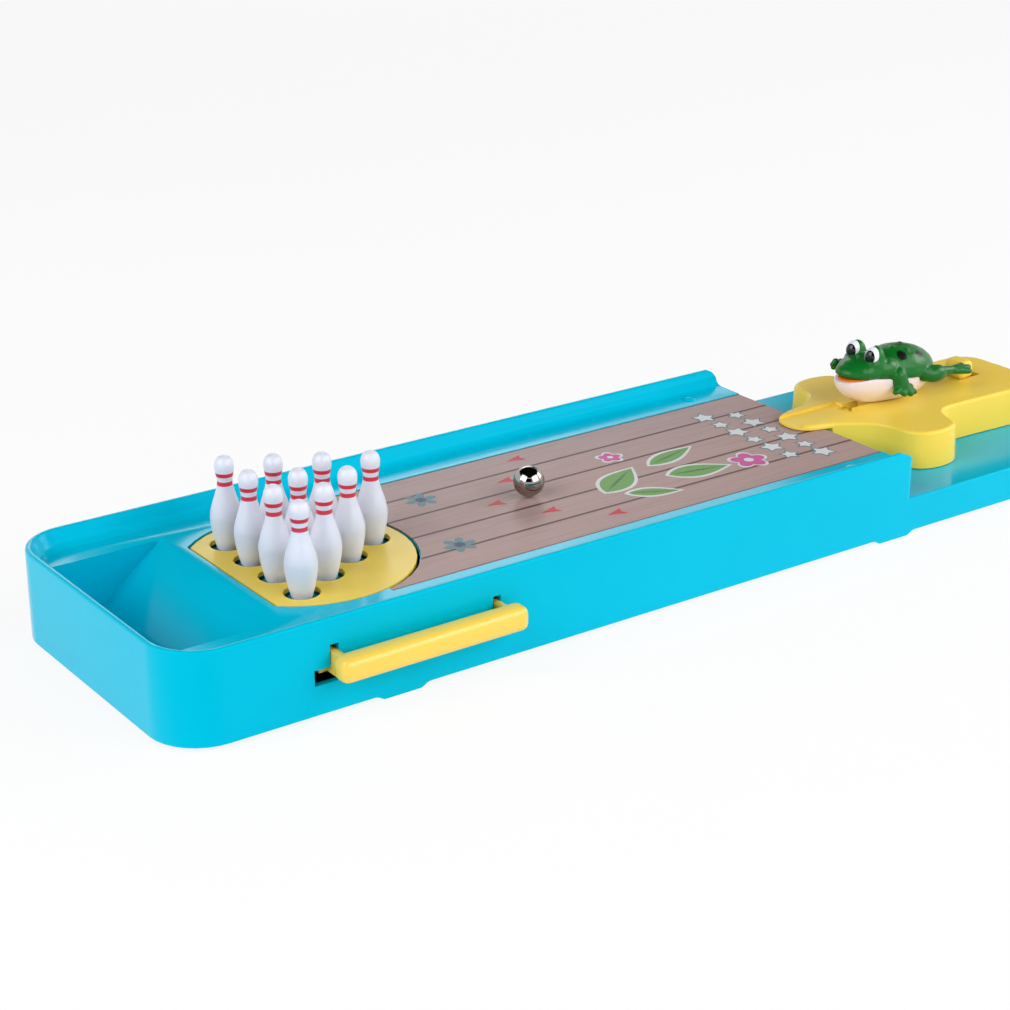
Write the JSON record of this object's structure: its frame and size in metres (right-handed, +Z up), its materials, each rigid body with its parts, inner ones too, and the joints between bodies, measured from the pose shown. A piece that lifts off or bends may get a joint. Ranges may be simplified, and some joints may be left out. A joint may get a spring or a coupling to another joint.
{
  "type": "tabletop bowling game",
  "caption": "Small bowling lane in a moulded tray with pins on a lifting plate, a rolling ball, and a swivelling launcher with a frog figure.",
  "frame": {"origin": "under the middle of the tray, on its centre line, at the height of the surface it stands on; the underside mount is 1.4 mm above it", "axes": "+X along the lane from the pins towards the launcher, +Y to the side away from the lift handle, +Z up"},
  "size_m": [0.38, 0.113, 0.0529],
  "materials": {
    "cyan_plastic": "glossy moulded",
    "yellow_plastic": "satin moulded",
    "white_plastic": "glossy moulded with red bands",
    "printed_sheet": "printed planks",
    "green_plastic": "glossy moulded",
    "cream_plastic": "satin painted",
    "orange_plastic": "satin painted",
    "bright_steel": "polished",
    "zinc_steel": "zinc plated"
  },
  "bodies": {
    "tray": {"base_tub": "cyan_plastic", "base_cover": "cyan_plastic", "cover_screw_1": "zinc_steel", "cover_screw_2": "zinc_steel", "cover_screw_3": "zinc_steel", "cover_screw_4": "zinc_steel", "cover_screw_5": "zinc_steel", "cover_screw_6": "zinc_steel", "lane_sheet": "printed_sheet", "pin_stand": "cyan_plastic", "stand_screw_1": "zinc_steel", "stand_screw_2": "zinc_steel", "stand_screw_3": "zinc_steel", "stand_screw_4": "zinc_steel", "lift_spring_1": "zinc_steel", "lift_spring_2": "zinc_steel"},
    "lifter": {"pin_plate": "yellow_plastic", "lift_frame": "cyan_plastic", "lift_handle": "yellow_plastic", "plate_screw_1": "zinc_steel", "plate_screw_2": "zinc_steel", "plate_screw_3": "zinc_steel", "handle_screw_1": "zinc_steel", "handle_screw_2": "zinc_steel"},
    "launcher": {"launcher_body": "yellow_plastic", "launcher_cover": "yellow_plastic", "launcher_screw_1": "zinc_steel", "launcher_screw_2": "zinc_steel", "launcher_screw_3": "zinc_steel", "launcher_screw_4": "zinc_steel", "swivel_washer": "zinc_steel", "swivel_screw": "zinc_steel", "frog_back": "green_plastic", "frog_belly": "cream_plastic", "frog_mouth": "orange_plastic", "plunger_spring": "zinc_steel"},
    "plunger": {"plunger": "yellow_plastic", "launch_knob": "yellow_plastic"},
    "ball": {"ball": "bright_steel"},
    "pin_01": {"pin_01": "white_plastic"},
    "pin_02": {"pin_02": "white_plastic"},
    "pin_03": {"pin_03": "white_plastic"},
    "pin_04": {"pin_04": "white_plastic"},
    "pin_05": {"pin_05": "white_plastic"},
    "pin_06": {"pin_06": "white_plastic"},
    "pin_07": {"pin_07": "white_plastic"},
    "pin_08": {"pin_08": "white_plastic"},
    "pin_09": {"pin_09": "white_plastic"},
    "pin_10": {"pin_10": "white_plastic"}
  },
  "joints": [
    {"name": "plate_press", "type": "slide", "parent": "tray", "child": "lifter", "axis": [0, 0, 1], "range_m": [-0.0022, 0], "stiffness_N_per_m": 200, "springref_m": 0.004, "deforming": ["lift_spring_1", "lift_spring_2"]},
    {"name": "launcher_swivel", "type": "hinge", "parent": "tray", "child": "launcher", "pos_m": [0.158, 0, 0.0131], "axis": [0, 0, 1], "range_deg": [-10, 10]},
    {"name": "plunger_pull", "type": "slide", "parent": "launcher", "child": "plunger", "axis": [1, 0, 0], "range_m": [0, 0.006], "stiffness_N_per_m": 120, "springref_m": -0.004, "deforming": ["plunger_spring"]},
    {"name": "ball_roll", "type": "slide", "parent": "tray", "child": "ball", "axis": [1, 0, 0], "range_m": [-0.046, 0.1]},
    {"name": "pin_01_lift", "type": "slide", "parent": "tray", "child": "pin_01", "axis": [0, 0, 1], "range_m": [0, 0.04]},
    {"name": "pin_02_lift", "type": "slide", "parent": "tray", "child": "pin_02", "axis": [0, 0, 1], "range_m": [0, 0.04]},
    {"name": "pin_03_lift", "type": "slide", "parent": "tray", "child": "pin_03", "axis": [0, 0, 1], "range_m": [0, 0.04]},
    {"name": "pin_04_lift", "type": "slide", "parent": "tray", "child": "pin_04", "axis": [0, 0, 1], "range_m": [0, 0.04]},
    {"name": "pin_05_lift", "type": "slide", "parent": "tray", "child": "pin_05", "axis": [0, 0, 1], "range_m": [0, 0.04]},
    {"name": "pin_06_lift", "type": "slide", "parent": "tray", "child": "pin_06", "axis": [0, 0, 1], "range_m": [0, 0.04]},
    {"name": "pin_07_lift", "type": "slide", "parent": "tray", "child": "pin_07", "axis": [0, 0, 1], "range_m": [0, 0.04]},
    {"name": "pin_08_lift", "type": "slide", "parent": "tray", "child": "pin_08", "axis": [0, 0, 1], "range_m": [0, 0.04]},
    {"name": "pin_09_lift", "type": "slide", "parent": "tray", "child": "pin_09", "axis": [0, 0, 1], "range_m": [0, 0.04]},
    {"name": "pin_10_lift", "type": "slide", "parent": "tray", "child": "pin_10", "axis": [0, 0, 1], "range_m": [0, 0.04]}
  ]
}
